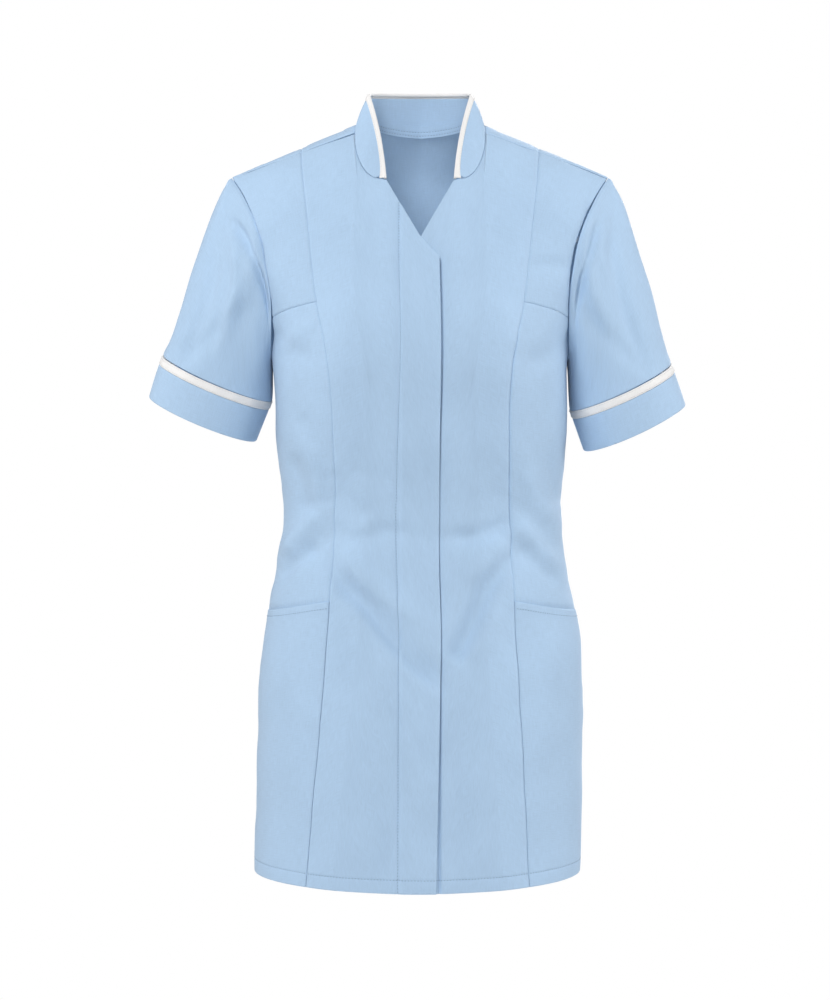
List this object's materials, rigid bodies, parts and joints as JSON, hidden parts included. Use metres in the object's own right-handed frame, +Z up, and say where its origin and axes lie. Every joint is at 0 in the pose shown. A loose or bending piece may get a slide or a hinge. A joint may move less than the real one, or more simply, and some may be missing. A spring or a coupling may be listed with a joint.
{
  "type": "mandarin collar tunic",
  "caption": "Short-sleeved work tunic with a stand collar, V neck, princess seams, hip pockets and contrast trim, hollow as worn.",
  "frame": {"origin": "middle of the neck between the shoulders, level with the points where the shoulder seams meet the collar, where the wearer's shoulders hold the tunic", "axes": "+Z up along the body, -Y the way the front faces, +X the wearer's left"},
  "size_m": [0.5357, 0.2542, 0.7881],
  "materials": {
    "tunic_cloth": "plain-woven polyester and cotton, pale blue, lightly pressed, matt",
    "contrast_cloth": "plain-woven polyester and cotton, white, matt"
  },
  "bodies": {
    "root": {"front_right": "tunic_cloth", "front_left": "tunic_cloth", "side_front_upper_right": "tunic_cloth", "side_front_upper_left": "tunic_cloth", "side_front_lower_right": "tunic_cloth", "side_front_lower_left": "tunic_cloth", "pocket_back_right": "tunic_cloth", "pocket_back_left": "tunic_cloth", "pocket_right": "tunic_cloth", "pocket_left": "tunic_cloth", "back": "tunic_cloth", "side_back_upper_right": "tunic_cloth", "side_back_upper_left": "tunic_cloth", "side_back_lower_right": "tunic_cloth", "side_back_lower_left": "tunic_cloth", "sleeve_right": "tunic_cloth", "sleeve_left": "tunic_cloth", "sleeve_trim_right": "contrast_cloth", "sleeve_trim_left": "contrast_cloth", "cuff_right": "tunic_cloth", "cuff_left": "tunic_cloth", "collar": "tunic_cloth", "collar_trim": "contrast_cloth", "neck_tape": "tunic_cloth"}
  },
  "joints": []
}
